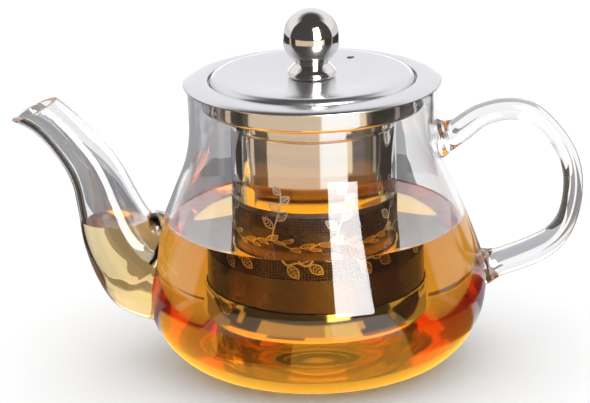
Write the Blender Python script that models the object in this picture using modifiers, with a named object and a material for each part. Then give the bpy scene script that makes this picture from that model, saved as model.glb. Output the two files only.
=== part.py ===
"""Glass teapot with a stainless infuser and a lid with a ball knob.

Metres, +Z up. The origin is the middle of the flat base, on the pot's axis.
The spout points along -X and the handle along +X.
The infuser lifts out of the glass along +Z, and the lid lifts off the infuser along +Z.
"""

from math import atan2, cos, pi, sin

import bpy
import numpy as np
from mathutils import Matrix, Vector

MM = 0.001
GAP = 0.3 * MM  # between pieces that touch
ROUND = 32  # sides of a turned piece

# Glass
MOUTH_R = 41.3 * MM
RIM_Z = 96.1 * MM
WALL = 2.0 * MM
BASE_R = 31.0 * MM
BASE_THICK = 2.8 * MM
BASE_DOME = 1.4 * MM  # the floor inside rises to a low bump in the middle
SPOUT_WALL = 1.8 * MM
SPOUT_HOLE_R = 10.5 * MM
SPOUT_HOLE_Z = 33.0 * MM

# The body's outside below the mouth, as radius and height in mm: waist, straight flank, belly, turn under
BODY_OUTSIDE = (
    (40.9, 86.0), (41.0, 78.0), (42.5, 69.5), (46.2, 60.0), (50.1, 50.5), (53.8, 40.8),
    (56.3, 32.5), (56.6, 24.5), (54.6, 16.0), (49.6, 8.0), (42.0, 2.3),
)  # fmt: skip

# Along the spout from past its mouth to inside the body: x, z and outside diameter in mm
SPOUT_PATH = (
    (-99.4, 93.3, 16.0), (-94.6, 90.6, 14.9), (-89.7, 87.3, 13.8), (-85.3, 83.6, 14.0), (-80.0, 77.7, 14.9),
    (-74.5, 70.2, 16.5), (-71.0, 63.2, 18.4), (-68.2, 54.5, 21.2), (-65.3, 45.6, 25.0), (-61.3, 38.2, 28.2),
    (-56.0, 33.0, 31.0), (-49.5, 31.0, 34.0), (-43.0, 30.4, 36.0),
)  # fmt: skip
LIP_TIP = Vector((-98.9, 0, 84.6)) * MM
LIP_HEEL = Vector((-84.1, 0, 91.4)) * MM

# Along the handle from its upper weld to its lower weld: x, z and diameter in mm
HANDLE_PATH = (
    (38.0, 75.2, 9.6), (42.5, 75.8, 9.0), (47.6, 77.8, 8.8), (55.0, 82.8, 7.8), (63.5, 84.9, 7.3),
    (71.5, 83.5, 7.0), (79.0, 76.8, 6.4), (84.3, 67.8, 6.4), (85.8, 58.0, 6.6), (84.1, 47.8, 6.8),
    (80.0, 40.9, 8.0), (74.0, 36.7, 9.2), (66.0, 33.5, 9.3), (58.5, 31.2, 9.3), (52.0, 29.6, 9.8),
)  # fmt: skip

# Infuser
FLANGE_R = 42.5 * MM
FLANGE_TOP = 97.2 * MM
FLANGE_SHEET = 0.8 * MM
FLANGE_BEAD = 1.7 * MM  # height of the rolled outer edge
SEAT_R = 34.4 * MM  # recess that the lid drops into
SEAT_DEPTH = 2.1 * MM
SEAT_HOLE_R = 31.6 * MM
COLLAR_R = 37.0 * MM
COLLAR_BOTTOM = 88.2 * MM
COLLAR_SHEET = 0.7 * MM
COLLAR_LIP_R = 38.6 * MM
NECK_R = 27.3 * MM
NECK_BOTTOM = 83.0 * MM
SLEEVE_R = 26.5 * MM
SLEEVE_TOP = 88.5 * MM
SLEEVE_BOTTOM = 57.0 * MM
STRAINER_R = 27.4 * MM
STRAINER_TOP = 58.4 * MM
STRAINER_BOTTOM = 19.5 * MM
THIN_SHEET = 0.5 * MM
BASE_RING_R = 28.2 * MM
BASE_RING_TOP = 25.0 * MM
BASE_RING_BOTTOM = 17.6 * MM
BASE_RING_LIP_R = 24.0 * MM
FLOOR_R = 27.2 * MM
HOLE_R = 1.5 * MM

# Lid
LID_R = 33.9 * MM
LID_TOP = 97.4 * MM
LID_SHEET = 0.8 * MM
LINER_R = 30.6 * MM
LINER_SHEET = 0.6 * MM
LINER_BOTTOM = 89.6 * MM
VENT_AT = Vector((13.0, 19.8, 0)) * MM
VENT_R = 1.3 * MM
BALL_R = 9.6 * MM
BALL_Z = 110.6 * MM
BALL_WALL = 1.0 * MM
BALL_OPENING_R = 5.2 * MM
FOOT_R = 8.0 * MM
SCREW_R = 1.9 * MM
SCREW_HOLE_R = 2.3 * MM
SCREW_HEAD_R = 3.6 * MM
SCREW_HEAD_H = 2.2 * MM
WASHER_R = 5.0 * MM
WASHER_T = 0.8 * MM


def clear_scene():
    for obj in list(bpy.data.objects):
        bpy.data.objects.remove(obj, do_unlink=True)


def collection(name, hidden=False):
    made = bpy.data.collections.new(name)
    bpy.context.scene.collection.children.link(made)
    made.hide_render = hidden
    return made


def material(name, colour, metallic, roughness, transmission=0.0):
    made = bpy.data.materials.new(name)
    made.use_nodes = True
    shader = made.node_tree.nodes["Principled BSDF"]
    shader.inputs["Base Color"].default_value = (*colour, 1)
    shader.inputs["Metallic"].default_value = metallic
    shader.inputs["Roughness"].default_value = roughness
    shader.inputs["Transmission Weight"].default_value = transmission
    made.diffuse_color = (*colour, 1)
    return made


def smooth_path(points, per_span):
    """A Catmull-Rom curve through the points, whatever number of values each has."""
    p = np.array(points, float)
    p = np.vstack([2 * p[0] - p[1], p, 2 * p[-1] - p[-2]])
    t = np.linspace(0, 1, per_span, endpoint=False)[:, None]
    spans = [
        0.5
        * (
            2 * b
            + (c - a) * t
            + (2 * a - 5 * b + 4 * c - d) * t**2
            + (3 * b - a - 3 * c + d) * t**3
        )
        for a, b, c, d in zip(p, p[1:], p[2:], p[3:])
    ]
    return np.vstack([*spans, p[-2]])


def arc(centre, radius, start, end, points):
    """Points (r, z) round a centre, with angles in degrees from +X towards +Z."""
    angles = np.radians(np.linspace(start, end, points))
    return [(centre[0] + radius * cos(a), centre[1] + radius * sin(a)) for a in angles]


def link(obj, where, look):
    where.objects.link(obj)
    if look:
        obj.data.materials.append(look)
    return obj


def cutter(obj):
    obj.hide_render = True
    obj.display_type = "WIRE"
    return obj


def turned(name, profile, where, look, steps=ROUND, closed=True):
    """Turns a profile of (r, z) about Z. It runs down the outer side; a closed one returns up the inner side."""
    mesh = bpy.data.meshes.new(name)
    edges = [(i, i + 1) for i in range(len(profile) - 1)]
    if closed:
        edges.append((len(profile) - 1, 0))
    mesh.from_pydata([(r, 0, z) for r, z in profile], edges, [])
    obj = link(bpy.data.objects.new(name, mesh), where, look)
    screw = obj.modifiers.new("Turn", "SCREW")
    screw.axis = "Z"
    screw.steps = screw.render_steps = steps
    screw.use_merge_vertices = True
    screw.merge_threshold = 0.00001
    screw.use_smooth_shade = True
    return obj


def cut(obj, tool, name="Cut"):
    boolean = obj.modifiers.new(name, "BOOLEAN")
    boolean.operation = "DIFFERENCE"
    boolean.object = tool


def prism(name, radius, length, matrices, sides, where):
    """One cutter of separate prisms, each along its own Z and placed by its matrix."""
    mesh = bpy.data.meshes.new(name)
    ring = [(radius * cos(2 * pi * i / sides), radius * sin(2 * pi * i / sides)) for i in range(sides)]
    points, faces = [], []
    for matrix in matrices:
        first = len(points)
        points += [matrix @ Vector((x, y, z)) for z in (-length / 2, length / 2) for x, y in ring]
        faces.append([first + i for i in reversed(range(sides))])
        faces.append([first + sides + i for i in range(sides)])
        for i in range(sides):
            j = (i + 1) % sides
            faces.append([first + i, first + j, first + sides + j, first + sides + i])
    mesh.from_pydata(points, [], faces)
    return cutter(link(bpy.data.objects.new(name, mesh), where, None))


def rod(name, path, where, look, sides_resolution, caps):
    """A curve in the XZ plane that follows (x, z, diameter) in metres."""
    curve = bpy.data.curves.new(name, "CURVE")
    curve.dimensions = "3D"
    curve.bevel_depth = 1.0
    curve.bevel_resolution = sides_resolution
    curve.use_fill_caps = caps
    spline = curve.splines.new("POLY")
    spline.points.add(len(path) - 1)
    for point, (x, z, diameter) in zip(spline.points, path):
        point.co = (x, 0, z, 1)
        point.radius = diameter / 2
    return link(bpy.data.objects.new(name, curve), where, look)


def as_mesh(obj):
    """A mesh object in place of a curve, with its caps welded on."""
    graph = bpy.context.evaluated_depsgraph_get()
    mesh = bpy.data.meshes.new_from_object(obj.evaluated_get(graph))
    name, look, where = obj.name, list(obj.data.materials), obj.users_collection[0]
    bpy.data.objects.remove(obj, do_unlink=True)
    mesh.name = name
    made = bpy.data.objects.new(name, mesh)
    where.objects.link(made)
    mesh.materials.clear()
    for each in look:
        mesh.materials.append(each)
    weld = made.modifiers.new("Weld", "WELD")
    weld.merge_threshold = 0.00001
    mesh.shade_smooth()
    return made


def body_outside():
    """(r, z) down the outside of the glass, from the mouth to the base's edge."""
    marks = [(MOUTH_R, RIM_Z - WALL / 2)] + [(r * MM, z * MM) for r, z in BODY_OUTSIDE] + [(BASE_R, 0)]
    return [tuple(p) for p in smooth_path(marks, 2)]


def offset(profile, distance):
    """The profile moved inwards along its own normal."""
    p = np.array(profile)
    along = np.gradient(p, axis=0)
    along /= np.linalg.norm(along, axis=1)[:, None]
    return [tuple(q) for q in p + distance * np.stack([along[:, 1], -along[:, 0]], axis=1)]


def make_glass(parts, tools, look):
    outside = body_outside()
    inside = [(r, z) for r, z in offset(outside, WALL)[::-1] if z > 1.5 * BASE_THICK]
    rim = arc((MOUTH_R - WALL / 2, RIM_Z - WALL / 2), WALL / 2, 150, 30, 5)
    floor_edge = [(0.86 * BASE_R, 1.12 * BASE_THICK), (0.5 * BASE_R, BASE_THICK)]
    dome = [(0.2 * BASE_R, BASE_THICK + 0.6 * BASE_DOME), (0, BASE_THICK + BASE_DOME)]
    profile = rim + outside + [(0, 0)] + dome[::-1] + floor_edge[::-1] + inside
    body = turned("glass_body", profile, parts, look)
    turn_y = Matrix.Rotation(pi / 2, 4, "Y")
    at_wall = Matrix.Translation((-55 * MM, 0, SPOUT_HOLE_Z)) @ turn_y
    cut(body, prism("spout_hole_cutter", SPOUT_HOLE_R, 30 * MM, [at_wall], 20, tools))

    envelope = [(r + GAP, z) for r, z in outside]
    envelope = [(MOUTH_R + GAP, RIM_Z + 5 * MM)] + envelope + [(BASE_R + GAP, -5 * MM), (0, -5 * MM)]
    envelope = [(0, RIM_Z + 5 * MM)] + envelope
    around_body = cutter(turned("body_envelope_cutter", envelope, tools, None, closed=False))

    path = smooth_path(np.array(SPOUT_PATH) * MM, 2)
    spout = as_mesh(rod("glass_spout", path, parts, look, 8, caps=False))
    shell = spout.modifiers.new("Wall", "SOLIDIFY")
    shell.thickness = SPOUT_WALL
    shell.offset = -1
    cut(spout, around_body, "Fit to body")
    cut(spout, lip_cutter(tools), "Mouth")

    path = smooth_path(np.array(HANDLE_PATH) * MM, 2)
    handle = as_mesh(rod("glass_handle", path, parts, look, 4, caps=True))
    cut(handle, around_body, "Fit to body")


def lip_cutter(tools):
    """A block above the slanting plane of the spout's mouth."""
    along = (LIP_HEEL - LIP_TIP).normalized()
    middle = (LIP_HEEL + LIP_TIP) / 2
    tilt = Matrix.Rotation(-atan2(along.z, along.x), 4, "Y")
    side = 40 * MM
    place = Matrix.Translation(middle) @ tilt @ Matrix.Translation((0, 0, side / 2))
    return prism("lip_cutter", side, side, [place @ Matrix.Rotation(pi / 4, 4, "Z")], 4, tools)


def make_rim(parts, look):
    """The flange that rests on the glass, with the recess for the lid."""
    top, under = FLANGE_TOP, FLANGE_TOP - FLANGE_SHEET
    bead_r = FLANGE_BEAD / 2
    bead = arc((FLANGE_R - 0.5 * bead_r, top - 0.5 * bead_r), 0.5 * bead_r, 90, 0, 4)
    bead += [(FLANGE_R, top - FLANGE_BEAD + 0.2 * MM), (FLANGE_R - 0.3 * MM, top - FLANGE_BEAD)]
    bead += [(FLANGE_R - FLANGE_SHEET, top - FLANGE_BEAD + 0.2 * MM), (FLANGE_R - FLANGE_SHEET, under)]
    ledge = top - SEAT_DEPTH
    outer_r = SEAT_R + FLANGE_SHEET
    seat = [(outer_r, under), (outer_r, ledge - FLANGE_SHEET), (SEAT_HOLE_R, ledge - FLANGE_SHEET)]
    seat += [(SEAT_HOLE_R, ledge), (SEAT_R, ledge), (SEAT_R, top - 0.3 * MM), (SEAT_R + 0.3 * MM, top)]
    turned("infuser_flange", bead + seat, parts, look)


def make_collar(parts, look):
    """The cup under the flange, which centres the infuser in the glass mouth and narrows to its neck."""
    top = FLANGE_TOP - FLANGE_SHEET - GAP
    lip = top - 0.6 * MM
    wall = [(COLLAR_LIP_R, top), (COLLAR_LIP_R, lip), (COLLAR_R, lip)]
    turn = arc((COLLAR_R - 2 * MM, COLLAR_BOTTOM + 2 * MM), 2 * MM, 0, -90, 5)
    neck = [(NECK_R + 0.8 * MM, COLLAR_BOTTOM), (NECK_R, COLLAR_BOTTOM - 0.8 * MM), (NECK_R, NECK_BOTTOM)]
    bore = [(NECK_R - THIN_SHEET, NECK_BOTTOM), (NECK_R - THIN_SHEET, COLLAR_BOTTOM)]
    shelf = COLLAR_BOTTOM + COLLAR_SHEET
    back = arc((COLLAR_R - 2 * MM, COLLAR_BOTTOM + 2 * MM), 2 * MM - COLLAR_SHEET, -90, 0, 5)
    inside = [(NECK_R + 0.6 * MM, shelf)] + back + [(COLLAR_R - COLLAR_SHEET, top)]
    turned("infuser_collar", wall + turn + neck + bore + inside, parts, look)


def tube(name, radius, wall, bottom, top, parts, look):
    profile = [(radius, top), (radius, bottom), (radius - wall, bottom), (radius - wall, top)]
    return turned(name, profile, parts, look)


def make_strainer(parts, tools, plain, etched):
    """The plain sleeve, the perforated lower tube, and the floor that the base ring holds."""
    tube("infuser_sleeve", SLEEVE_R, THIN_SHEET, SLEEVE_BOTTOM, SLEEVE_TOP, parts, plain)
    strainer = tube("infuser_strainer", STRAINER_R, THIN_SHEET, STRAINER_BOTTOM, STRAINER_TOP, parts, etched)
    around, rows = 12, 3
    places = []
    for row in range(rows):
        height = BASE_RING_TOP + 4 * MM + row * 9 * MM
        for i in range(around):
            angle = 2 * pi * (i + 0.5 * (row % 2)) / around
            turn = Matrix.Rotation(angle, 4, "Z") @ Matrix.Translation((STRAINER_R, 0, height))
            places.append(turn @ Matrix.Rotation(pi / 2, 4, "Y"))
    cut(strainer, prism("strainer_hole_cutter", HOLE_R, 6 * MM, places, 6, tools))

    inner = BASE_RING_R - THIN_SHEET
    lip = BASE_RING_BOTTOM + 0.6 * MM
    ring = [(BASE_RING_R, BASE_RING_TOP), (BASE_RING_R, BASE_RING_BOTTOM + 0.8 * MM)]
    ring += [(BASE_RING_R - 0.8 * MM, BASE_RING_BOTTOM), (BASE_RING_LIP_R, BASE_RING_BOTTOM)]
    ring += [(BASE_RING_LIP_R, lip), (inner, lip), (inner, BASE_RING_TOP)]
    turned("infuser_base_ring", ring, parts, plain)

    floor_z = (lip + GAP, STRAINER_BOTTOM - GAP)
    floor = turned("infuser_floor", [(0, floor_z[1]), (FLOOR_R, floor_z[1]), (FLOOR_R, floor_z[0]), (0, floor_z[0])],
                   parts, etched, closed=False)  # fmt: skip
    pitch = 7 * MM
    places = []
    for i in range(-5, 6):
        for j in range(-5, 6):
            x, y = pitch * (i + 0.5 * j), pitch * j * sin(pi / 3)
            if (x * x + y * y) ** 0.5 < BASE_RING_LIP_R - 2 * HOLE_R:
                places.append(Matrix.Translation((x, y, sum(floor_z) / 2)))
    cut(floor, prism("floor_hole_cutter", HOLE_R, 6 * MM, places, 6, tools))


def make_lid(parts, tools, look):
    """The cover, and the liner under it whose skirt centres the lid in the infuser."""
    under = LID_TOP - LID_SHEET
    flat_r = LID_R - 3 * MM
    edge = [(flat_r, LID_TOP), (LID_R - 1.2 * MM, LID_TOP - 0.35 * MM), (LID_R - 0.3 * MM, LID_TOP - 0.9 * MM)]
    foot = FLANGE_TOP - SEAT_DEPTH + GAP
    edge += [(LID_R, LID_TOP - 1.4 * MM), (LID_R, foot), (LID_R - LID_SHEET, foot)]
    edge += [(LID_R - LID_SHEET, LID_TOP - 1.6 * MM), (flat_r - 0.5 * MM, under)]
    cover = turned("lid_cover", [(SCREW_HOLE_R, LID_TOP)] + edge + [(SCREW_HOLE_R, under)], parts, look)

    top = under - GAP
    plate = top - LINER_SHEET
    skirt = [(LINER_R - 0.8 * MM, top), (LINER_R, top - 0.8 * MM), (LINER_R, LINER_BOTTOM)]
    skirt += [(LINER_R - LINER_SHEET, LINER_BOTTOM), (LINER_R - LINER_SHEET, plate)]
    liner = turned("lid_liner", [(SCREW_HOLE_R, top)] + skirt + [(SCREW_HOLE_R, plate)], parts, look)

    vent = Matrix.Translation(VENT_AT + Vector((0, 0, LID_TOP)))
    vent_tool = prism("vent_cutter", VENT_R, 8 * MM, [vent], 16, tools)
    cut(cover, vent_tool)
    cut(liner, vent_tool)
    return plate


def make_knob(parts, tools, look, liner_plate):
    """A hollow ball on a flared foot, held by a screw and a washer from under the lid."""
    opening = np.degrees(np.arcsin(BALL_OPENING_R / BALL_R))
    inner_r = BALL_R - BALL_WALL
    inner_opening = np.degrees(np.arcsin(BALL_OPENING_R / inner_r))
    shell = arc((0, BALL_Z), BALL_R, 90, opening - 90, 13)
    shell += arc((0, BALL_Z), inner_r, inner_opening - 90, 90, 8)
    ball = [(0.0 if abs(r) < 1e-9 else r, z) for r, z in shell]
    turned("knob_ball", ball, parts, look, steps=24, closed=False)

    joint_z = BALL_Z - (BALL_R**2 - BALL_OPENING_R**2) ** 0.5 - GAP
    spigot_r = BALL_OPENING_R - GAP
    base = LID_TOP + GAP
    bore_top = joint_z + 0.7 * MM
    foot = [(0, joint_z + 1.6 * MM), (spigot_r, joint_z + 1.6 * MM), (spigot_r, joint_z), (5.6 * MM, joint_z)]
    flare = [(5.7, 4.5), (6.3, 3.9), (7.2, 3.0), (7.8, 1.9)]
    foot += [(r * MM, base + z * MM) for r, z in flare]
    foot += [(FOOT_R, base + 1.2 * MM), (FOOT_R, base + 0.5 * MM), (FOOT_R - 0.5 * MM, base)]
    foot += [(SCREW_HOLE_R, base), (SCREW_HOLE_R, bore_top), (0, bore_top)]
    turned("knob_foot", foot, parts, look, steps=24, closed=False)

    washer_top = liner_plate - GAP
    head_top = washer_top - WASHER_T - GAP
    tube("knob_washer", WASHER_R, WASHER_R - SCREW_HOLE_R, washer_top - WASHER_T, washer_top, parts, look)
    head = head_top - SCREW_HEAD_H
    shank = [(0, bore_top - 0.6 * MM), (SCREW_R - 0.4 * MM, bore_top - 0.6 * MM), (SCREW_R, bore_top - 1.0 * MM)]
    shank += [(SCREW_R, head_top), (SCREW_HEAD_R, head_top), (SCREW_HEAD_R, head_top - 1.0 * MM)]
    shank += [(SCREW_HEAD_R - 0.9 * MM, head), (0, head)]
    screw = turned("knob_screw", shank, parts, look, steps=24, closed=False)
    slots = [Matrix.Translation((0, 0, head)) @ Matrix.Rotation(turn, 4, "Z") for turn in (0, pi / 2)]
    scale = Matrix.Diagonal((1.0, 0.22, 1.0, 1.0))
    for i, place in enumerate(slots):
        slot = prism(f"screw_slot_cutter_{i}", 2.0 * MM, 2.0 * MM, [place @ scale], 4, tools)
        cut(screw, slot, f"Slot {i}")


def main():
    clear_scene()
    parts = collection("glass_teapot_with_infuser")
    tools = collection("cutters", hidden=True)
    glass = material("clear_glass", (0.93, 0.95, 0.96), 0.0, 0.02, transmission=1.0)
    satin = material("satin_steel", (0.80, 0.80, 0.82), 1.0, 0.25)
    mirror = material("polished_steel", (0.86, 0.86, 0.88), 1.0, 0.06)
    etched = material("etched_steel", (0.62, 0.60, 0.57), 1.0, 0.32)
    make_glass(parts, tools, glass)
    make_rim(parts, satin)
    make_collar(parts, mirror)
    make_strainer(parts, tools, mirror, etched)
    plate = make_lid(parts, tools, satin)
    make_knob(parts, tools, mirror, plate)


main()
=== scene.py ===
"""Looks for the glass teapot: blown glass, tea, a polished and satin steel infuser, and its lid.

Metres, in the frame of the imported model: +Z up, the pot's axis at the origin, the spout along -X.
"""

from math import asin, atan2, cos, degrees, pi, radians, sin

import bmesh
import bpy
import numpy as np
from mathutils import Matrix, Vector


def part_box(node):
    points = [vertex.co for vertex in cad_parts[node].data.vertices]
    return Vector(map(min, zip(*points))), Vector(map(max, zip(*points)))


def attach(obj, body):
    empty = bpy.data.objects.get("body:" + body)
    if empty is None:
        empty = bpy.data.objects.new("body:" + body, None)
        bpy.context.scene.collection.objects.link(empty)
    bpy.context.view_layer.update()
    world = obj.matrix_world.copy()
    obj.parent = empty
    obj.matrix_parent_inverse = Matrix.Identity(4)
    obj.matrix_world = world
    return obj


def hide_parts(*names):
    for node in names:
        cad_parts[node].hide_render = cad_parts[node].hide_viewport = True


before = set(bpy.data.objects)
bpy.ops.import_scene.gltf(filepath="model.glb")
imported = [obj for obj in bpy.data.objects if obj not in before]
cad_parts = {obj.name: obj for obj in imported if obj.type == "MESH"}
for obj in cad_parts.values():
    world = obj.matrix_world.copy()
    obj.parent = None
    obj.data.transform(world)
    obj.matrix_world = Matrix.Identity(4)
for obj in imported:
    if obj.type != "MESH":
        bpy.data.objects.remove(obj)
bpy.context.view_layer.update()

MM = 0.001


def top_of(node):
    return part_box(node)[1].z


def bottom_of(node):
    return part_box(node)[0].z


def radius_of(node):
    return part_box(node)[1].y


BOUNCES = 64

# Camera
LENS = 176.8
CAMERA_AT = Vector((0, -0.9168, 0.3459))
CAMERA_PITCH = radians(17.638)
CAMERA_YAW = radians(0.406)
CAMERA_ROLL = radians(-1.303)

# Glass
MOUTH_R = 41.3 * MM
RIM_Z = top_of("glass_body")
WALL = 2.0 * MM
BASE_R = 31.0 * MM
BASE_THICK = 2.8 * MM
BASE_DOME = 1.4 * MM
SPOUT_WALL = 1.8 * MM
TEA_Z = 49.6 * MM
TEA_OVERLAP = 0.15 * MM  # the tea reaches this far into the glass, so that no air shows between them

# The body's outside below the mouth, as radius and height in mm
BODY_OUTSIDE = (
    (40.9, 86.0), (41.0, 78.0), (42.5, 69.5), (46.2, 60.0), (50.1, 50.5), (53.8, 40.8),
    (56.3, 32.5), (56.6, 24.5), (54.6, 16.0), (49.6, 8.0), (42.0, 2.3),
)  # fmt: skip

# Along the spout from past its mouth to inside the body: x, z and outside diameter in mm
SPOUT_PATH = (
    (-99.4, 93.3, 16.0), (-94.6, 90.6, 14.9), (-89.7, 87.3, 13.8), (-85.3, 83.6, 14.0), (-80.0, 77.7, 14.9),
    (-74.5, 70.2, 16.5), (-71.0, 63.2, 18.4), (-68.2, 54.5, 21.2), (-65.3, 45.6, 25.0), (-61.3, 38.2, 28.2),
    (-56.0, 33.0, 31.0), (-49.5, 31.0, 34.0), (-43.0, 30.4, 36.0),
)  # fmt: skip
LIP_TIP = Vector((-98.9, 0, 84.6)) * MM
LIP_HEEL = Vector((-84.1, 0, 91.4)) * MM

# Along the handle from its upper weld to its lower weld: x, z and diameter in mm
HANDLE_PATH = (
    (38.0, 75.2, 9.6), (42.5, 75.8, 9.0), (47.6, 77.8, 8.8), (55.0, 82.8, 7.8), (63.5, 84.9, 7.3),
    (71.5, 83.5, 7.0), (79.0, 76.8, 6.4), (84.3, 67.8, 6.4), (85.8, 58.0, 6.6), (84.1, 47.8, 6.8),
    (80.0, 40.9, 8.0), (74.0, 36.7, 9.2), (66.0, 33.5, 9.3), (58.5, 31.2, 9.3), (52.0, 29.6, 9.8),
)  # fmt: skip

# Steel
FLANGE_R = radius_of("infuser_flange")
FLANGE_TOP = top_of("infuser_flange")
FLANGE_SHEET = 0.8 * MM
FLANGE_BEAD = 1.7 * MM
SEAT_R = 34.4 * MM
SEAT_DEPTH = 2.1 * MM
SEAT_HOLE_R = 31.6 * MM
COLLAR_LIP_R = radius_of("infuser_collar")
COLLAR_TOP = top_of("infuser_collar")
COLLAR_R = 37.0 * MM
COLLAR_BOTTOM = 88.2 * MM
COLLAR_SHEET = 0.7 * MM
NECK_R = 27.3 * MM
NECK_BOTTOM = bottom_of("infuser_collar")
THIN_SHEET = 0.5 * MM
STRAINER_R = radius_of("infuser_strainer")
SLEEVE_SEEN_R = STRAINER_R - 0.15 * MM  # where the sleeve shows, almost level with the strainer
STRAINER_TOP = top_of("infuser_strainer")
STRAINER_BOTTOM = bottom_of("infuser_strainer")
BASE_RING_R = radius_of("infuser_base_ring")
BASE_RING_LIP_R = 24.0 * MM
LID_R = radius_of("lid_cover")
LID_TOP = top_of("lid_cover")
LID_SHEET = 0.8 * MM
LINER_R = radius_of("lid_liner")
LINER_SHEET = 0.6 * MM
VENT_AT = Vector((13.0, 19.8, 0)) * MM
VENT_R = 1.3 * MM
BALL_R = 9.6 * MM
BALL_Z = 110.6 * MM
BALL_OPENING_R = 5.2 * MM
SCREW_HOLE_R = 2.3 * MM

# The strainer's border of leaves among fine holes
PITCH = 0.90 * MM  # between holes
COLUMNS = 190
HOLE_SHARE = 0.43  # hole radius as a share of the pitch
BAND_LOW = 35.5 * MM
BAND_ROWS = 24
REPEATS = 8  # of the border's pattern round the tube
STEM_LOW = 44.0  # height of the stem's middle, in mm

# How fine the meshes are: sides of turned pieces, and points of smooth paths
FINE = 192
MEDIUM = 96
POINTS_PER_SPAN = 7  # of a smooth path, between two of its marks


# ---------------------------------------------------------------- mesh tools


def smooth_path(points, per_span):
    """A Catmull-Rom curve through the points, whatever number of values each has."""
    p = np.array(points, float)
    p = np.vstack([2 * p[0] - p[1], p, 2 * p[-1] - p[-2]])
    t = np.linspace(0, 1, per_span, endpoint=False)[:, None]
    spans = [
        0.5
        * (
            2 * b
            + (c - a) * t
            + (2 * a - 5 * b + 4 * c - d) * t**2
            + (3 * b - a - 3 * c + d) * t**3
        )
        for a, b, c, d in zip(p, p[1:], p[2:], p[3:])
    ]
    return np.vstack([*spans, p[-2]])


def arc(centre, radius, start, end, points=7):
    """Points (r, z) round a centre, with angles in degrees from +X towards +Z."""
    angles = np.radians(np.linspace(start, end, points))
    return [(centre[0] + radius * cos(a), centre[1] + radius * sin(a)) for a in angles]


def rounded(corners, radius, points):
    """A closed outline with each corner rounded, where its sides are long enough."""
    out = []
    count = len(corners)
    for i, corner in enumerate(corners):
        here = Vector(corner)
        before = Vector(corners[i - 1]) - here
        after = Vector(corners[(i + 1) % count]) - here
        reach = min(radius, 0.45 * before.length, 0.45 * after.length)
        start = here + before.normalized() * reach
        end = here + after.normalized() * reach
        for k in range(points):
            t = k / (points - 1)
            out.append(tuple((1 - t) ** 2 * start + 2 * t * (1 - t) * here + t**2 * end))
    return out


def mesh_object(name, points, faces):
    mesh = bpy.data.meshes.new(name)
    mesh.from_pydata(points, [], faces)
    obj = bpy.data.objects.new(name, mesh)
    bpy.context.scene.collection.objects.link(obj)
    return obj


def face_out(obj):
    """Turns the faces of a closed mesh outwards."""
    bm = bmesh.new()
    bm.from_mesh(obj.data)
    bmesh.ops.recalc_face_normals(bm, faces=bm.faces)
    if bm.calc_volume(signed=True) < 0:
        bmesh.ops.reverse_faces(bm, faces=bm.faces)
    bm.to_mesh(obj.data)
    bm.free()
    return obj


def lathe(name, profile, sides=FINE, closed=True):
    """Turns a profile of (r, z) about Z.

    A closed one joins its ends, and an open one starts and ends on the axis.
    """
    points = []
    rings = []
    for r, z in profile:
        if abs(r) < 1e-7:
            rings.append([len(points)])
            points.append((0, 0, z))
            continue
        rings.append(list(range(len(points), len(points) + sides)))
        points += [(r * cos(2 * pi * i / sides), r * sin(2 * pi * i / sides), z) for i in range(sides)]
    pairs = list(zip(rings, rings[1:]))
    if closed:
        pairs.append((rings[-1], rings[0]))
    faces = []
    for a, b in pairs:
        for i in range(sides):
            j = (i + 1) % sides
            if len(a) == 1:
                faces.append((a[0], b[i], b[j]))
            elif len(b) == 1:
                faces.append((a[i], b[0], a[j]))
            else:
                faces.append((a[i], b[i], b[j], a[j]))
    return face_out(mesh_object(name, points, faces))


def tube(name, path, sides, grow=0.0):
    """A closed tube in the XZ plane that follows rows of (x, z, diameter), with flat ends."""
    path = np.array(path)
    along = np.gradient(path[:, :2], axis=0)
    along /= np.linalg.norm(along, axis=1)[:, None]
    points = []
    for (x, z, diameter), (dx, dz) in zip(path, along):
        r = diameter / 2 + grow
        for i in range(sides):
            a = 2 * pi * i / sides
            points.append((x - dz * r * cos(a), r * sin(a), z + dx * r * cos(a)))
    faces = [tuple(range(sides)), tuple(range(len(points) - sides, len(points)))[::-1]]
    for ring in range(len(path) - 1):
        for i in range(sides):
            j = (i + 1) % sides
            a, b = ring * sides, (ring + 1) * sides
            faces.append((a + i, a + j, b + j, b + i))
    return face_out(mesh_object(name, points, faces))


def prisms(name, radius, length, places, sides=12):
    """Separate prisms in one mesh, each along its own Z."""
    points, faces = [], []
    for place in places:
        first = len(points)
        for z in (-length / 2, length / 2):
            for i in range(sides):
                a = 2 * pi * i / sides
                points.append(place @ Vector((radius * cos(a), radius * sin(a), z)))
        faces.append([first + i for i in range(sides)][::-1])
        faces.append([first + sides + i for i in range(sides)])
        for i in range(sides):
            j = (i + 1) % sides
            faces.append([first + i, first + j, first + sides + j, first + sides + i])
    return face_out(mesh_object(name, points, faces))


def combine(obj, tool, operation):
    """Applies one Boolean and removes its tool."""
    boolean = obj.modifiers.new(operation, "BOOLEAN")
    boolean.operation = operation
    boolean.object = tool
    boolean.solver = "EXACT"
    graph = bpy.context.evaluated_depsgraph_get()
    made = bpy.data.meshes.new_from_object(obj.evaluated_get(graph))
    obj.modifiers.clear()
    obj.data = made
    bpy.data.objects.remove(tool, do_unlink=True)
    return obj


def smooth(obj, angle=35):
    """Smooth shading, with edges sharper than the angle kept."""
    obj.data.shade_smooth()
    obj.data.set_sharp_from_angle(angle=radians(angle))
    return obj


def finish_piece(obj, body, look, nodes=(), angle=35):
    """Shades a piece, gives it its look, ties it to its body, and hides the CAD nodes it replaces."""
    smooth(obj, angle)
    obj.data.materials.clear()
    obj.data.materials.append(look)
    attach(obj, body)
    if nodes:
        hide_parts(*nodes)
    return obj


# ---------------------------------------------------------------- glass and tea


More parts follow.
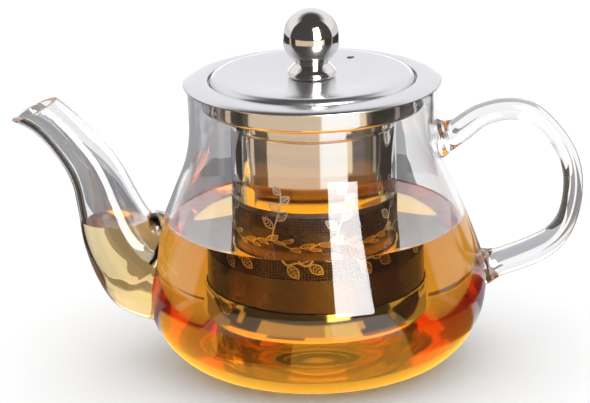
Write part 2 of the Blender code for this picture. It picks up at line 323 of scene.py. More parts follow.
def body_outside():
    """(r, z) down the outside of the glass, from the mouth to the base's edge."""
    marks = [(MOUTH_R, RIM_Z - WALL / 2)] + [(r * MM, z * MM) for r, z in BODY_OUTSIDE] + [(BASE_R, 0)]
    return [tuple(p) for p in smooth_path(marks, POINTS_PER_SPAN)]


def moved_in(profile, distance):
    """The profile moved inwards along its own normal."""
    p = np.array(profile)
    along = np.gradient(p, axis=0)
    along /= np.linalg.norm(along, axis=1)[:, None]
    return [tuple(q) for q in p + distance * np.stack([along[:, 1], -along[:, 0]], axis=1)]


def outer_body(name):
    """The body as a solid, with its fire-polished rim."""
    outside = body_outside()
    rim = arc((MOUTH_R - WALL / 2, RIM_Z - WALL / 2), WALL / 2, 90, 8, 7)
    return lathe(name, [(0, RIM_Z)] + rim + outside + [(0, 0)], closed=False)


def cavity(name, grow=0.0):
    """The space inside the body, with its low bump in the middle of the floor, open past the rim."""
    inside = [(r, z) for r, z in moved_in(body_outside(), WALL - grow) if z > 1.45 * BASE_THICK]
    rim = arc((MOUTH_R - WALL / 2, RIM_Z - WALL / 2), WALL / 2, 100, 170, 6)
    top = RIM_Z + 5 * MM
    floor = [
        (0.88 * BASE_R, 1.08 * BASE_THICK), (0.7 * BASE_R, BASE_THICK), (0.5 * BASE_R, BASE_THICK),
        (0.36 * BASE_R, BASE_THICK + 0.18 * BASE_DOME), (0.24 * BASE_R, BASE_THICK + 0.5 * BASE_DOME),
        (0.12 * BASE_R, BASE_THICK + 0.85 * BASE_DOME), (0, BASE_THICK + BASE_DOME),
    ]  # fmt: skip
    floor = [(r, z - grow) for r, z in floor]
    return lathe(name, [(0, top), (rim[0][0], top)] + rim + inside[1:] + floor, closed=False)


def spout_rows():
    return smooth_path(np.array(SPOUT_PATH) * MM, POINTS_PER_SPAN)


def spout_inside(name, grow=0.0):
    """The space inside the spout."""
    return tube(name, spout_rows(), 64, grow - SPOUT_WALL)


def spout_outside(name):
    """The spout with its root flared, as the weld to the body leaves it."""
    rows = spout_rows()
    root = np.array((-57.5, 33.5)) * MM
    reach = 13 * MM
    flare = 3.2 * MM
    distance = np.linalg.norm(rows[:, :2] - root, axis=1)
    near = np.clip(1 - distance / reach, 0, 1)
    rows[:, 2] += flare * near**2
    return tube(name, rows, 64)


def handle_rod(name):
    """The bent rod, with its ends spread where they were pressed on the hot glass."""
    rows = smooth_path(np.array(HANDLE_PATH) * MM, POINTS_PER_SPAN)
    upper_weld, lower_weld = (41.5, 75.6), (56.0, 30.4)  # x and z in mm
    reach = 7 * MM
    for weld, spread in ((upper_weld, 5.0), (lower_weld, 3.6)):
        distance = np.linalg.norm(rows[:, :2] - np.array(weld) * MM, axis=1)
        near = np.clip(1 - distance / reach, 0, 1)
        rows[:, 2] += spread * MM * near**2
    return tube(name, rows, 48)


def lip_tool():
    """A block above the slanting plane of the spout's mouth."""
    along = (LIP_HEEL - LIP_TIP).normalized()
    tilt = Matrix.Rotation(-atan2(along.z, along.x), 4, "Y")
    side = 40 * MM
    place = Matrix.Translation((LIP_HEEL + LIP_TIP) / 2) @ tilt @ Matrix.Translation((0, 0, side / 2))
    return prisms("lip_tool", side, side, [place @ Matrix.Rotation(pi / 4, 4, "Z")], 4)


def weld_web(name):
    """The lens of glass that fills the notch between the body and the top of the spout."""
    centre = Vector((-53.2, 0, 47.2))
    size = Vector((6.0, 7.5, 4.6))  # half of each side, in mm
    web = lathe(name, [(0, 1)] + arc((0, 0), 1, 80, -80, 17) + [(0, -1)], 48, closed=False)
    for vertex in web.data.vertices:
        vertex.co = (centre + size * vertex.co) * MM
    return web


def make_vessel(look):
    """The body, spout and handle as one piece of glass, with the tea's space cut out."""
    vessel = outer_body("pot_glass")
    combine(vessel, spout_outside("spout_tool"), "UNION")
    combine(vessel, weld_web("web_tool"), "UNION")
    combine(vessel, handle_rod("handle_tool"), "UNION")
    combine(vessel, lip_tool(), "DIFFERENCE")
    hollow = combine(cavity("hollow_tool"), spout_inside("spout_hollow_tool"), "UNION")
    combine(vessel, hollow, "DIFFERENCE")
    return finish_piece(
        vessel, "pot", look, ("glass_body", "glass_spout", "glass_handle"), angle=50
    )


def make_tea(look):
    """The tea in the body and in the spout, up to one level, with its edge drawn up the glass."""
    tea = cavity("tea", TEA_OVERLAP)
    combine(tea, spout_inside("spout_tea_tool", TEA_OVERLAP), "UNION")
    flat_r = 47.0 * MM
    edge = ((0, 0), (0.9, 0.12), (1.5, 0.5), (1.9, 1.2), (3, 1.2), (3.5, 0))  # past flat_r and TEA_Z, in mm
    past_r, past_z = 110 * MM, 130 * MM  # outside the whole pot
    level = [(0, TEA_Z)] + [(flat_r + r * MM, TEA_Z + z * MM) for r, z in edge]
    level += [(past_r, TEA_Z), (past_r, past_z), (0, past_z)]
    combine(tea, lathe("level_tool", level, closed=False), "DIFFERENCE")
    return finish_piece(tea, "pot", look, angle=40)


# ---------------------------------------------------------------- infuser


def make_flange(look):
    """The flange on the glass rim: an edge that bends down, a flat top and the recess for the lid."""
    top, under = FLANGE_TOP, FLANGE_TOP - FLANGE_SHEET
    lowest = top - FLANGE_BEAD
    bend = FLANGE_R - 5.5 * MM
    drop = 1.4 * MM
    bead = [(bend + (FLANGE_R - bend) * r, top - drop + drop * z) for r, z in arc((0, 0), 1, 90, -12, 12)]
    bead += [(FLANGE_R - 0.25 * MM, lowest), (FLANGE_R - FLANGE_SHEET, lowest + 0.1 * MM)]
    bead += [(FLANGE_R - 1.4 * MM, under - 0.5 * MM), (bend, under)]
    ledge = top - SEAT_DEPTH
    outer_r = SEAT_R + FLANGE_SHEET
    seat = [(outer_r, under), (outer_r, ledge - FLANGE_SHEET), (SEAT_HOLE_R, ledge - FLANGE_SHEET)]
    seat += [(SEAT_HOLE_R, ledge), (SEAT_R, ledge)]
    lip_turn = 0.6 * MM
    lip = arc((SEAT_R + lip_turn, top - lip_turn), lip_turn, 180, 90, 6)
    flange = lathe("infuser_flange_visual", bead + seat + lip)
    return finish_piece(flange, "infuser", look, ("infuser_flange",))


def make_collar(look):
    """The cup under the flange, which narrows to the infuser's neck."""
    lip = COLLAR_TOP - 0.6 * MM
    shelf = COLLAR_BOTTOM + COLLAR_SHEET
    inner_neck = NECK_R - THIN_SHEET
    turn = 2.0 * MM
    neck_turn = 1.0 * MM
    outline = [(COLLAR_LIP_R, COLLAR_TOP), (COLLAR_LIP_R, lip), (COLLAR_R, lip)]
    outline += arc((COLLAR_R - turn, COLLAR_BOTTOM + turn), turn, 0, -90, 9)
    outline += arc((NECK_R + neck_turn, COLLAR_BOTTOM - neck_turn), neck_turn, 90, 180, 6)
    outline += [(NECK_R, NECK_BOTTOM + 0.3 * MM), (NECK_R - 0.15 * MM, NECK_BOTTOM)]
    outline += [(inner_neck, NECK_BOTTOM), (inner_neck, COLLAR_BOTTOM - 0.2 * MM)]
    outline += arc((NECK_R + 0.6 * MM, shelf - neck_turn), neck_turn, 170, 90, 5)
    outline += arc((COLLAR_R - turn, COLLAR_BOTTOM + turn), turn - COLLAR_SHEET, -90, 0, 9)
    outline += [(COLLAR_R - COLLAR_SHEET, COLLAR_TOP)]
    collar = lathe("infuser_collar_visual", outline)
    return finish_piece(collar, "infuser", look, ("infuser_collar",))


def make_sleeve(look):
    """The upper tube. It is narrower where it goes into the collar's neck and into the strainer."""
    top, bottom = top_of("infuser_sleeve"), bottom_of("infuser_sleeve")
    in_neck = NECK_R - THIN_SHEET - 0.15 * MM
    in_strainer = STRAINER_R - THIN_SHEET - 0.05 * MM
    shoulder = NECK_BOTTOM - 0.1 * MM
    step = 0.6 * MM
    outside = [
        (in_neck, top), (in_neck, shoulder), (SLEEVE_SEEN_R, shoulder - step),
        (SLEEVE_SEEN_R, STRAINER_TOP + 0.5 * step), (in_strainer, STRAINER_TOP - 0.5 * step),
        (in_strainer, bottom),
    ]  # fmt: skip
    inside = [(r - THIN_SHEET, z) for r, z in reversed(outside)]
    sleeve = lathe("infuser_sleeve_visual", outside + inside)
    return finish_piece(sleeve, "infuser", look, ("infuser_sleeve",))


def stem_height(u, span):
    """Height of the wavy stem in mm, u mm along a repeat that is span mm long."""
    return STEM_LOW + 3.6 * sin(2 * pi * u / span) + 1.1 * sin(6 * pi * u / span)


def leaves(span):
    """(root, lean in degrees, length, half width) of one repeat's leaves, in mm along and up."""
    out = []
    for k in range(7):
        u = (k + 0.4) * span / 7
        side = 1 if k % 2 else -1
        out.append(((u, stem_height(u, span)), side * (48 + 9 * sin(5 * k)), 6.0 + 1.3 * sin(3 * k), 1.55))
    return out


def branch(span):
    """A shoot that climbs from the stem onto the sleeve, with its own leaves."""
    start = Vector((0.3 * span, stem_height(0.3 * span, span)))
    shoot = [start + Vector((3.4 * sin(2.4 * t) * t + 1.5 * t, 19.0 * t)) for t in np.linspace(0, 1, 20)]
    twigs = []
    for k, t in enumerate((6, 9, 12, 15, 18)):
        side = 1 if k % 2 else -1
        twigs.append((tuple(shoot[t]), 90 - side * 52, 5.4 - 0.5 * k, 1.3))
    return shoot, twigs


def on_leaf(u, v):
    """Whether the point at u round the tube and v up it, in mm, is on plain metal of the border."""
    span = 2 * pi * STRAINER_R / MM / REPEATS
    u %= span
    if abs(v - stem_height(u, span)) < 0.5:
        return True
    for (root_u, root_v), lean, length, half_width in leaves(span) + branch(span)[1]:
        for wrap in (-span, 0, span):
            du, dv = u - root_u + wrap, v - root_v
            tilt = radians(lean)
            along = (du * cos(tilt) + dv * sin(tilt)) / length
            across = -du * sin(tilt) + dv * cos(tilt)
            if 0 < along < 1 and abs(across) < half_width * sin(pi * along):
                return True
    return False


def line_art():
    """The engraved lines of the whole border, each as its points and its width, in mm."""
    span = 2 * pi * STRAINER_R / MM / REPEATS
    lines = []
    for repeat in range(REPEATS):
        shift = Vector((repeat * span, 0))
        stem = [Vector((u, stem_height(u, span))) for u in np.linspace(0, span, 49)]
        shoot, twigs = branch(span)
        curves = [(stem, 0.6), (shoot, 0.5)]
        for root, lean, length, half_width in leaves(span) + twigs:
            forward = Vector((cos(radians(lean)), sin(radians(lean))))
            aside = Vector((-forward.y, forward.x))
            for side in (-1, 1):
                edge = [
                    Vector(root) + forward * length * t + aside * side * half_width * sin(pi * t)
                    for t in np.linspace(0, 1, 13)
                ]
                curves.append((edge, 0.38))
                for t in (0.3, 0.5, 0.7):
                    rib_start = Vector(root) + forward * length * t
                    rib_end = rib_start + forward * 0.12 * length
                    rib_end += aside * side * 0.75 * half_width * sin(pi * t)
                    curves.append(([rib_start, rib_end], 0.22))
            curves.append(([Vector(root), Vector(root) + forward * 0.86 * length], 0.3))
        lines += [([p + shift for p in points], width) for points, width in curves]
    return lines


def make_engraving(look):
    """The leaf border's lines, as thin ribbons on the strainer and the sleeve."""
    stands_out = 0.03 * MM
    points, faces = [], []
    for curve, width in line_art():
        flat = np.array([tuple(p) for p in curve])
        along = np.gradient(flat, axis=0)
        along /= np.linalg.norm(along, axis=1)[:, None]
        for (u, v), (du, dv) in zip(flat, along):
            for side in (-1, 1):
                a = (u - side * dv * width / 2) * MM / STRAINER_R
                z = (v + side * du * width / 2) * MM
                r = (STRAINER_R if z < STRAINER_TOP else SLEEVE_SEEN_R) + stands_out
                points.append((r * cos(a), r * sin(a), z))
        first = len(points) - 2 * len(flat)
        for k in range(len(flat) - 1):
            i = first + 2 * k
            faces.append((i, i + 1, i + 3, i + 2))
    ribbons = mesh_object("infuser_engraving", points, faces)
    return finish_piece(ribbons, "infuser", look)


def make_strainer(look):
    """The lower tube. Its border is pierced with fine holes, except in the leaves."""
    half_columns = 2 * COLUMNS
    band_top = BAND_LOW + BAND_ROWS * PITCH
    plain_edge = 0.5 * MM
    # Heights of the mesh's rows, from the bottom up; a hole takes two rows and two columns
    lattice = [STRAINER_BOTTOM, STRAINER_BOTTOM + 0.3 * MM, 27.0 * MM, BAND_LOW - plain_edge]
    first_row = len(lattice)
    lattice += [BAND_LOW + k * PITCH / 2 for k in range(2 * BAND_ROWS + 1)]
    lattice += [band_top + plain_edge, STRAINER_TOP]
    points, faces = [], []

    def at(side, angle, z):
        r = STRAINER_R - THIN_SHEET * side
        return (r * cos(angle), r * sin(angle), z)

    def grid(side, row, column):
        return (side * len(lattice) + row) * half_columns + column % half_columns

    for side in (0, 1):
        for z in lattice:
            points += [at(side, pi * c / COLUMNS, z) for c in range(half_columns)]

    def strip(low_row, high_row):
        for c in range(half_columns):
            for side in (0, 1):
                faces.append(
                    (grid(side, low_row, c), grid(side, low_row, c + 1),
                     grid(side, high_row, c + 1), grid(side, high_row, c))
                )  # fmt: skip

    for row in range(first_row):
        strip(row, row + 1)
    for row in range(first_row + 2 * BAND_ROWS, len(lattice) - 1):
        strip(row, row + 1)
    for row in (0, len(lattice) - 1):
        for c in range(half_columns):
            faces.append((grid(0, row, c), grid(0, row, c + 1), grid(1, row, c + 1), grid(1, row, c)))

    steps = [(-1, -1), (0, -1), (1, -1), (1, 0), (1, 1), (0, 1), (-1, 1), (-1, 0)]
    for j in range(BAND_ROWS):
        for i in range(COLUMNS):
            row, column = first_row + 2 * j + 1, 2 * i + 1
            angle, z = pi * column / COLUMNS, lattice[row]
            rims = [[grid(side, row + dz, column + dc) for dc, dz in steps] for side in (0, 1)]
            if on_leaf(angle * STRAINER_R / MM, z / MM):
                faces += rims
                continue
            holes = []
            for side in (0, 1):
                holes.append(range(len(points), len(points) + 8))
                for dc, dz in steps:
                    lean = atan2(dz, dc)
                    r = HOLE_SHARE * PITCH
                    points.append(at(side, angle + r * cos(lean) / STRAINER_R, z + r * sin(lean)))
            for k in range(8):
                n = (k + 1) % 8
                for side in (0, 1):
                    faces.append((rims[side][k], rims[side][n], holes[side][n], holes[side][k]))
                faces.append((holes[0][k], holes[0][n], holes[1][n], holes[1][k]))
    strainer = face_out(mesh_object("infuser_strainer_visual", points, faces))
    return finish_piece(strainer, "infuser", look, ("infuser_strainer",), angle=45)


def make_base_ring(look):
    """The ring crimped round the strainer's bottom, turned in under the floor disc."""
    top, bottom = top_of("infuser_base_ring"), bottom_of("infuser_base_ring")
    inner = BASE_RING_R - THIN_SHEET
    turn = 1.3 * MM
    outline = [(BASE_RING_R - 0.15 * MM, top), (BASE_RING_R, top - 0.3 * MM)]
    outline += arc((BASE_RING_R - turn, bottom + turn), turn, 0, -90, 8)
    outline += [(BASE_RING_LIP_R, bottom), (BASE_RING_LIP_R, bottom + 0.6 * MM)]
    outline += arc((BASE_RING_R - turn, bottom + turn + 0.05 * MM), turn - THIN_SHEET, -90, 0, 6)
    outline += [(inner, top)]
    ring = lathe("infuser_base_ring_visual", outline)
    return finish_piece(ring, "infuser", look, ("infuser_base_ring",))


def make_floor(look):
    """The floor disc, pierced all over inside the ring."""
    low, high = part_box("infuser_floor")
    disc = [(0, high.z), (high.x, high.z), (high.x, low.z), (0, low.z)]
    floor = lathe("infuser_floor_visual", disc, closed=False)
    pitch = 3.0 * MM
    hole = 0.8 * MM
    places = []
    for i in range(-16, 17):
        for j in range(-10, 11):
            x, y = pitch * (i + 0.5 * (j % 2)), pitch * j * sin(pi / 3)
            if (x * x + y * y) ** 0.5 < BASE_RING_LIP_R - 2 * hole:
                places.append(Matrix.Translation((x, y, (low.z + high.z) / 2)))
    combine(floor, prisms("floor_hole_tool", hole, 4 * MM, places, 10), "DIFFERENCE")
    return finish_piece(floor, "infuser", look, ("infuser_floor",))


# ---------------------------------------------------------------- lid


def make_lid(look):
    """The cover with its turned-down edge, and the liner whose skirt drops into the infuser."""
    under = LID_TOP - LID_SHEET
    foot = bottom_of("lid_cover")
    rise = 1.1 * MM  # of the shoulder above the middle
    turn = LID_TOP + rise - foot - 0.15 * MM
    shoulder = (LID_R - turn, LID_TOP + rise - turn)
    flat_r = 10 * MM
    dish = []
    for t in np.linspace(0, 1, 10):
        dish.append((flat_r + (shoulder[0] - flat_r) * t, LID_TOP + rise * t * t * (3 - 2 * t)))
    edge = dish[:-1] + arc(shoulder, turn, 90, 0, 14)
    edge += [(LID_R, foot + 0.1 * MM), (LID_R - 0.1 * MM, foot), (LID_R - LID_SHEET, foot)]
    edge += arc(shoulder, turn - LID_SHEET, 0, 90, 10)
    edge += [(r, z - LID_SHEET) for r, z in reversed(dish[:-1])]
    cover = lathe("lid_cover_visual", [(SCREW_HOLE_R, LID_TOP)] + edge + [(SCREW_HOLE_R, under)])

    top, bottom = top_of("lid_liner"), bottom_of("lid_liner")
    plate = top - LINER_SHEET
    inside_r = LINER_R - LINER_SHEET
    turn = 0.8 * MM
    skirt = arc((LINER_R - turn, top - turn), turn, 90, 0, 6)
    skirt += [(LINER_R, bottom + 0.2 * MM), (LINER_R - 0.2 * MM, bottom), (inside_r, bottom)]
    skirt += [(inside_r, plate - 0.3 * MM), (LINER_R - 1.0 * MM, plate)]
    liner = lathe("lid_liner_visual", [(SCREW_HOLE_R, top)] + skirt + [(SCREW_HOLE_R, plate)])

    vent = Matrix.Translation(VENT_AT + Vector((0, 0, LID_TOP)))
    for piece in (cover, liner):
        combine(piece, prisms("vent_tool", VENT_R, 8 * MM, [vent], 32), "DIFFERENCE")
    finish_piece(cover, "lid", look, ("lid_cover",))
    finish_piece(liner, "lid", look, ("lid_liner",))


def make_knob(look):
    """A hollow ball on a waisted foot, with the screw and washer that hold it."""
    opening = degrees(asin(BALL_OPENING_R / BALL_R))
    ball_sheet = 1.0 * MM
    inner_r = BALL_R - ball_sheet
    inner_opening = degrees(asin(BALL_OPENING_R / inner_r))
    shell = arc((0, BALL_Z), BALL_R, 90, opening - 90, 48)
    shell += arc((0, BALL_Z), inner_r, inner_opening - 90, 90, 24)
    ball = lathe("knob_ball_visual", shell, MEDIUM, closed=False)
    finish_piece(ball, "lid", look, ("knob_ball",))

    base = bottom_of("knob_foot")
    joint_z = BALL_Z - (BALL_R**2 - BALL_OPENING_R**2) ** 0.5 - 0.3 * MM
    spigot_r = BALL_OPENING_R - 0.3 * MM
    # The waist's radius and height above the foot's base, in mm
    waist = [(5.55, 5.0), (5.55, 4.6), (5.75, 4.2), (6.2, 3.7), (6.9, 3.0), (7.55, 2.3), (7.9, 1.8)]
    spigot_top = joint_z + 1.6 * MM
    foot_r, turn = 8.0 * MM, 0.85 * MM
    outline = [(0, spigot_top), (spigot_r, spigot_top), (spigot_r, joint_z), (5.4 * MM, joint_z)]
    outline += [tuple(p) for p in smooth_path([(r * MM, base + z * MM) for r, z in waist], 4)]
    outline += arc((foot_r - turn, base + turn), turn, 40, -90, 8)
    bore_top = joint_z + 0.7 * MM
    outline += [(SCREW_HOLE_R, base), (SCREW_HOLE_R, bore_top), (0, bore_top)]
    foot = lathe("knob_foot_visual", outline, MEDIUM, closed=False)
    finish_piece(foot, "lid", look, ("knob_foot",))

    top, bottom, radius = top_of("knob_washer"), bottom_of("knob_washer"), radius_of("knob_washer")
    corners = [(radius, top), (radius, bottom), (SCREW_HOLE_R, bottom), (SCREW_HOLE_R, top)]
    washer = lathe("knob_washer_visual", rounded(corners, 0.15 * MM, 4), MEDIUM)
    finish_piece(washer, "lid", look, ("knob_washer",))

    top, bottom, head_r = top_of("knob_screw"), bottom_of("knob_screw"), radius_of("knob_screw")
    shank_r = 1.9 * MM
    head_top = bottom_of("knob_washer") - 0.3 * MM
    bevel = 0.4 * MM
    outline = [(0, top), (shank_r - bevel, top), (shank_r, top - bevel), (shank_r, head_top)]
    outline += [(head_r - 0.1 * MM, head_top), (head_r, head_top - 0.15 * MM)]
    outline += [(head_r, head_top - 0.9 * MM)]
    outline += [(head_r - 0.35 * MM, bottom + 0.5 * MM), (head_r - 1.1 * MM, bottom), (0, bottom)]
    screw = lathe("knob_screw_visual", outline, MEDIUM, closed=False)
    slot_shape = Matrix.Diagonal((1.0, 0.22, 1.0, 1.0))
    for angle in (0, pi / 2):
        place = Matrix.Translation((0, 0, bottom)) @ Matrix.Rotation(angle, 4, "Z") @ slot_shape
        combine(screw, prisms("slot_tool", 2.0 * MM, 2.0 * MM, [place], 4), "DIFFERENCE")
    finish_piece(screw, "lid", look, ("knob_screw",))


# ---------------------------------------------------------------- materials

SATIN_COLOUR = (0.77, 0.775, 0.795)
POLISHED_COLOUR = (0.80, 0.78, 0.76)
# Etched steel made near black: painted shade, so that the strainer and the floor disc down in the tea look
# dim.
ETCHED_PAINTED_SHADE_COLOUR = (0.19, 0.165, 0.15)
ENGRAVED_COLOUR = (0.86, 0.83, 0.79)
GLASS_COLOUR = (0.965, 0.975, 0.98, 1)
TEA_COLOUR = (0.938, 0.70, 0.0, 1)  # what the tea lets through
TEA_DENSITY = 45.0
GLASS_IOR = 1.47
WATER_IOR = 1.333

# Scales of the noise textures, in features per metre
SMUDGES = 60
TURNING_MARKS = 3500
GLASS_WAVES = 28


def new_material(name):
    made = bpy.data.materials.new(name)
    made.use_nodes = True
    return made, made.node_tree, made.node_tree.nodes["Principled BSDF"]


def node(tree, kind, **inputs):
    """A new node with values on its own sockets. An underscore stands for a space."""
    made = tree.nodes.new(kind)
    for key, value in inputs.items():
        made.inputs[key.replace("_", " ")].default_value = value
    return made


def noise(tree, coordinates, scale, detail):
    made = node(tree, "ShaderNodeTexNoise", Scale=scale, Detail=detail, Roughness=0.5)
    tree.links.new(coordinates, made.inputs["Vector"])
    return made.outputs["Fac"]


def ranged(tree, value, low, high):
    """A value from 0 to 1, spread between low and high."""
    made = node(tree, "ShaderNodeMapRange", From_Min=0.0, From_Max=1.0, To_Min=low, To_Max=high)
    tree.links.new(value, made.inputs["Value"])
    return made.outputs["Result"]


def object_coordinates(tree):
    return tree.nodes.new("ShaderNodeTexCoord").outputs["Object"]


def bump(tree, height, shader, strength, distance):
    made = node(tree, "ShaderNodeBump", Strength=strength, Distance=distance)
    tree.links.new(height, made.inputs["Height"])
    tree.links.new(made.outputs["Normal"], shader.inputs["Normal"])


def turned_coordinates(tree):
    """Object coordinates as (radius, height, 0), so that a texture follows the lathe's marks."""
    parts = tree.nodes.new("ShaderNodeSeparateXYZ")
    tree.links.new(object_coordinates(tree), parts.inputs[0])
    length = tree.nodes.new("ShaderNodeVectorMath")
    length.operation = "LENGTH"
    flat = tree.nodes.new("ShaderNodeCombineXYZ")
    tree.links.new(parts.outputs["X"], flat.inputs["X"])
    tree.links.new(parts.outputs["Y"], flat.inputs["Y"])
    tree.links.new(flat.outputs[0], length.inputs[0])
    out = tree.nodes.new("ShaderNodeCombineXYZ")
    tree.links.new(length.outputs["Value"], out.inputs["X"])
    tree.links.new(parts.outputs["Z"], out.inputs["Y"])
    return out.outputs[0]


def steel(name, colour, roughness, mark_depth, smudge=0.06):
    """Turned stainless steel: fine marks round the axis, and faint smudges in its gloss."""
    made, tree, shader = new_material(name)
    shader.inputs["Base Color"].default_value = (*colour, 1)
    shader.inputs["Metallic"].default_value = 1.0
    smudges = noise(tree, object_coordinates(tree), SMUDGES, 4.0)
    gloss = ranged(tree, smudges, roughness - smudge / 2, roughness + smudge)
    tree.links.new(gloss, shader.inputs["Roughness"])
    marks = noise(tree, turned_coordinates(tree), TURNING_MARKS, 2.0)
    bump(tree, marks, shader, strength=0.35, distance=mark_depth)
    return made


def glass(name):
    """Clear blown glass, with the faint waves that blowing leaves."""
    made, tree, shader = new_material(name)
    shader.inputs["Base Color"].default_value = GLASS_COLOUR
    shader.inputs["Transmission Weight"].default_value = 1.0
    shader.inputs["IOR"].default_value = GLASS_IOR
    shader.inputs["Roughness"].default_value = 0.0
    waves = noise(tree, object_coordinates(tree), GLASS_WAVES, 2.0)
    bump(tree, waves, shader, strength=0.25, distance=0.35 * MM)
    return made


def tea_look(name):
    """Clear amber tea, darker where it is deeper."""
    made, tree, shader = new_material(name)
    shader.inputs["Base Color"].default_value = (1, 1, 1, 1)
    shader.inputs["Transmission Weight"].default_value = 1.0
    shader.inputs["IOR"].default_value = WATER_IOR
    shader.inputs["Roughness"].default_value = 0.0
    absorption = tree.nodes.new("ShaderNodeVolumeAbsorption")
    absorption.inputs["Color"].default_value = TEA_COLOUR
    absorption.inputs["Density"].default_value = TEA_DENSITY
    tree.links.new(absorption.outputs[0], tree.nodes["Material Output"].inputs["Volume"])
    return made


# ---------------------------------------------------------------- studio

# Light of each card, as linear colour
DIM = (0.07, 0.066, 0.062)
WALL_LIGHT = (0.97, 0.965, 0.99)
SIDE_LIGHT = (0.78, 0.77, 0.79)
STRIP_LIGHT = (17.0, 17.0, 17.0)
FAINT_STRIP_LIGHT = (4.0, 4.0, 4.0)
WHITE = (1.0, 0.99, 0.99)
WARM_WHITE = (1.3, 1.261, 1.209)
GOLD = (1.0, 0.80, 0.50)
TAN = (0.80, 0.63, 0.46)
FAINT_TAN = (0.40, 0.34, 0.30)
DARK = (0.055, 0.045, 0.038)
GREY = (0.27, 0.265, 0.28)
SOFT_GREY = (0.34, 0.34, 0.36)
WARM_GREY = (0.40, 0.36, 0.34)
PALE_GREY = (0.50, 0.50, 0.53)
BRIGHT_AMBER = (2.1, 1.15, 0.16)
DIM_AMBER = (0.55, 0.28, 0.05)
SURFACE_GLOW = (2.548, 2.574, 2.6)

# Azimuths and elevations, in degrees, of the parts of a sphere round the pot.
# Azimuth 0 is the camera's side and 90 is +X.
SKY_RADIUS = 2.6
WALL_TOP = 46
SKY = (
    ("room", (-90, 90), (0, 90), DIM),
    ("wall_behind", (158, 202), (0, WALL_TOP), WALL_LIGHT),
    ("wall_left_low", (202, 270), (0, 18), SIDE_LIGHT),
    ("wall_right_low", (90, 158), (0, 18), SIDE_LIGHT),
    ("wall_left", (202, 270), (18, WALL_TOP), WALL_LIGHT),
    ("wall_right", (90, 158), (18, WALL_TOP), WALL_LIGHT),
)
FADE_STEPS = 8
FADE_STEP = 2.5
STRIP_AZIMUTHS = (12, 38)
STRIP_ELEVATIONS = (4, 48)
STRIP_RADIUS = 2.5

# Parts of rings on the table: azimuths in degrees, radii in metres, and the layer, where a higher one
# lies over a lower one. The foot's rings are tea-coloured light, and the shade is under the pot's back.
TABLE_RINGS = (
    ("table_all", (0, 360), (0, 3), 0, WHITE),
    ("front_dark", (-135, 135), (0.10, 3), 1, DARK),
    ("front_tan", (-64, 8), (0.10, 3), 2, TAN),
    ("front_strip", (8, 45), (0.10, 3), 2, WARM_WHITE),
    ("front_edge", (45, 52), (0.15, 3), 2, GOLD),
    ("right_streak", (86, 92), (0.15, 3), 2, FAINT_TAN),
    ("left_streak", (-93, -86), (0.15, 3), 2, TAN),
    ("foot_glow", (-100, 100), (0, 0.060), 3, BRIGHT_AMBER),
    ("foot_glow_left", (-100, -50), (0.060, 0.10), 3, BRIGHT_AMBER),
    ("foot_glow_dim", (-50, -12), (0.060, 0.10), 3, DIM_AMBER),
    ("foot_glow_front", (-12, 45), (0.060, 0.10), 3, BRIGHT_AMBER),
    ("foot_glow_right", (45, 100), (0.060, 0.10), 3, DIM_AMBER),
    ("foot_shade", (110, 250), (0, 0.060), 2, DARK),
)

# Rectangles on the table, mostly the grey that shows through the empty glass: x, y and the layer
TABLE_PATCHES = (
    ("behind_grey", (-0.10, 0.052), (0.15, 0.25), 2, GREY),
    ("behind_far", (-0.10, 0.052), (0.25, 0.31), 2, PALE_GREY),
    ("behind_left", (-0.30, -0.10), (0.15, 0.38), 2, SOFT_GREY),
    ("behind_right", (0.078, 0.13), (0.13, 0.20), 2, GREY),
    ("behind_far_right", (0.15, 0.32), (0.08, 0.25), 2, DARK),
    ("behind_spout", (-0.13, -0.048), (0.02, 0.12), 3, WARM_GREY),
    ("behind_near_right", (0.045, 0.10), (0.03, 0.10), 2, PALE_GREY),
)


def card(name, points, faces, light):
    """A studio card: it glows, and shows in steel and through glass and nowhere else."""
    look = bpy.data.materials.new(name)
    look.use_nodes = True
    tree = look.node_tree
    tree.nodes.clear()
    out = tree.nodes.new("ShaderNodeOutputMaterial")
    strength = max(light)
    colour = tuple(channel / strength for channel in light)
    emission = node(tree, "ShaderNodeEmission", Color=(*colour, 1), Strength=strength)
    tree.links.new(emission.outputs[0], out.inputs["Surface"])
    made = mesh_object(name, points, faces)
    made.data.materials.append(look)
    made.visible_camera = False
    made.visible_diffuse = False
    made.visible_shadow = False
    made.visible_volume_scatter = False
    return made


def sky_card(name, azimuths, elevations, light, radius=SKY_RADIUS, steps=24):
    """Part of a sphere round the pot."""
    points, faces = [], []
    for e in np.radians(np.linspace(*elevations, steps + 1)):
        for a in np.radians(np.linspace(*azimuths, steps + 1)):
            points.append((radius * sin(a) * cos(e), -radius * cos(a) * cos(e), radius * sin(e)))
    row = steps + 1
    for i in range(steps):
        for j in range(steps):
            faces.append((i * row + j, i * row + j + 1, (i + 1) * row + j + 1, (i + 1) * row + j))
    return card(name, points, faces, light)


def layer_z(layer):
    return (-0.6 + 0.02 * layer) * MM


def table_ring(name, azimuths, radii, layer, light, steps=96):
    """Part of a ring on the table round the pot."""
    points = []
    for r in radii:
        for a in np.radians(np.linspace(*azimuths, steps + 1)):
            points.append((r * sin(a), -r * cos(a), layer_z(layer)))
    faces = [(i, i + 1, steps + 2 + i, steps + 1 + i) for i in range(steps)]
    return card(name, points, faces, light)


def table_patch(name, x, y, layer, light):
    """A rectangle on the table."""
    z = layer_z(layer)
    points = [(x[0], y[0], z), (x[1], y[0], z), (x[1], y[1], z), (x[0], y[1], z)]
    return card(name, points, [(0, 1, 2, 3)], light)


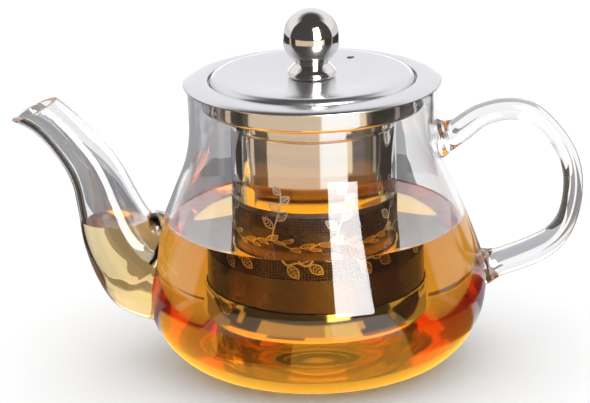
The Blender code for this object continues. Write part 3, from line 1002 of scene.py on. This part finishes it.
def make_floor_plane():
    """The pale floor. It catches the pot's shadow, and the table cards stand for it in reflections."""
    made, tree, shader = new_material("pale_floor")
    shader.inputs["Base Color"].default_value = (0.97, 0.97, 0.97, 1)
    shader.inputs["Roughness"].default_value = 0.9
    shader.inputs["Specular IOR Level"].default_value = 0.1
    side, z = 12.0, -0.2 * MM
    points = [(-side, -side, z), (side, -side, z), (side, side, z), (-side, side, z)]
    floor = mesh_object("floor", points, [(0, 1, 2, 3)])
    floor.data.materials.append(made)
    floor.visible_glossy = False
    floor.visible_transmission = False


def make_world():
    """Plain white light from all round."""
    world = bpy.data.worlds.new("studio")
    bpy.context.scene.world = world
    world.use_nodes = True
    background = world.node_tree.nodes["Background"]
    background.inputs["Color"].default_value = (1, 1, 1, 1)
    background.inputs["Strength"].default_value = 1.15


def make_studio():
    make_world()
    make_floor_plane()
    for name, azimuths, elevations, light in SKY:
        sky_card(name, azimuths, elevations, light)

    # The wall behind fades into the dim ceiling
    for k in range(FADE_STEPS):
        low = WALL_TOP + FADE_STEP * k
        share = (1 - (k + 0.5) / FADE_STEPS) ** 1.5
        light = tuple(dim + share * (WALL_LIGHT[0] - dim) for dim in DIM)
        sky_card(f"wall_fade_{k}", (90, 270), (low, low + FADE_STEP), light)
    sky_card("ceiling", (90, 270), (WALL_TOP + FADE_STEP * FADE_STEPS, 90), DIM)

    # The tall bright strip mirrored down the pot's front, and a fainter one that the tea lets through
    place = (STRIP_AZIMUTHS, STRIP_ELEVATIONS)
    strip = sky_card("strip_light", *place, STRIP_LIGHT, STRIP_RADIUS)
    strip.visible_transmission = False
    strip = sky_card("strip_seen_through", *place, FAINT_STRIP_LIGHT, STRIP_RADIUS)
    strip.visible_glossy = False

    for ring in TABLE_RINGS:
        table_ring(*ring)
    for patch in TABLE_PATCHES:
        table_patch(*patch)

    # Behind the pot and above its tea, where only the tea's surface mirrors it
    x, y, low, high = 60 * MM, 115 * MM, 68 * MM, 103 * MM
    corners = [(-x, y, low), (x, y, low), (x, y, high), (-x, y, high)]
    card("surface_glow", corners, [(0, 1, 2, 3)], SURFACE_GLOW)


def make_camera():
    """The camera, in front of the pot and a little above it."""
    data = bpy.data.cameras.new("camera")
    data.lens = LENS
    data.sensor_width = 36
    data.clip_start = 0.01
    camera = bpy.data.objects.new("camera", data)
    bpy.context.scene.collection.objects.link(camera)
    turn = Matrix.Rotation(CAMERA_YAW, 4, "Z") @ Matrix.Rotation(pi / 2 - CAMERA_PITCH, 4, "X")
    camera.matrix_world = Matrix.Translation(CAMERA_AT) @ turn @ Matrix.Rotation(CAMERA_ROLL, 4, "Z")
    bpy.context.scene.camera = camera


def main():
    satin = steel("satin_steel_look", SATIN_COLOUR, roughness=0.24, mark_depth=0.02 * MM)
    polished = steel(
        "polished_steel_look", POLISHED_COLOUR, roughness=0.07, mark_depth=0.004 * MM, smudge=0.04
    )
    # The strainer and the floor disc get steel darkened to near black, a painted shade for their place in
    # the tea.
    etched_painted_shade = steel("etched_steel_painted_shade_look", ETCHED_PAINTED_SHADE_COLOUR, roughness=0.26, mark_depth=0.02 * MM)
    engraved = steel("engraved_steel_look", ENGRAVED_COLOUR, roughness=0.38, mark_depth=0.0)
    clear = glass("clear_glass_look")
    make_vessel(clear)
    make_tea(tea_look("tea_look"))
    make_flange(satin)
    make_collar(polished)
    make_sleeve(polished)
    make_strainer(etched_painted_shade)
    make_engraving(engraved)
    make_base_ring(polished)
    make_floor(etched_painted_shade)
    make_lid(satin)
    make_knob(polished)
    make_studio()
    make_camera()
    scene = bpy.context.scene
    scene.view_settings.view_transform = "Standard"
    # Light crosses and mirrors in many surfaces on its way through the glass and the tea
    scene.cycles.max_bounces = BOUNCES
    scene.cycles.transmission_bounces = BOUNCES
    scene.cycles.glossy_bounces = BOUNCES


main()
